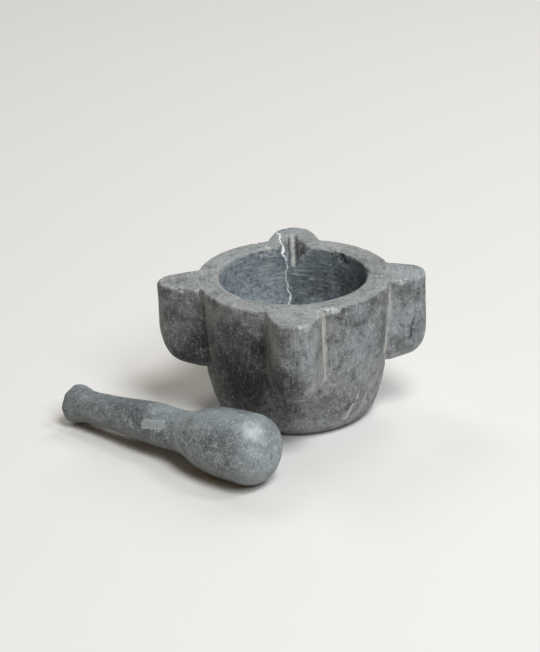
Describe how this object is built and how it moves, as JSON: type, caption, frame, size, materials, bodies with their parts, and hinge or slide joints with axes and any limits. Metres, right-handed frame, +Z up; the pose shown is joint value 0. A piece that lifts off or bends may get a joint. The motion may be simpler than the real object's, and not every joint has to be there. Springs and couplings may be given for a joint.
{
  "type": "mortar and pestle",
  "caption": "Heavy carved stone mortar with upright lugs and a pouring notch in the rim, with a club-shaped stone pestle that lies beside it.",
  "frame": {"origin": "centre of the mortar's flat base, on the surface that it stands on", "axes": "+Z up through the middle of the bowl; +Y from the bowl towards the lug with the pouring notch; +X to the right when the notch points away"},
  "size_m": [0.3406, 0.3093, 0.133],
  "materials": {
    "mortar_stone": "hand-carved grey marble, worn smooth on the rim, with pale scratches and one white vein",
    "pestle_stone": "smoother blue-grey stone with a soft worn sheen on the head"
  },
  "bodies": {
    "mortar": {"mortar": "mortar_stone"},
    "pestle": {"pestle": "pestle_stone"}
  },
  "joints": [
    {"name": "pestle_lift", "type": "slide", "parent": "mortar", "child": "pestle", "axis": [0, 0, 1], "range_m": [0, 0.15]}
  ]
}
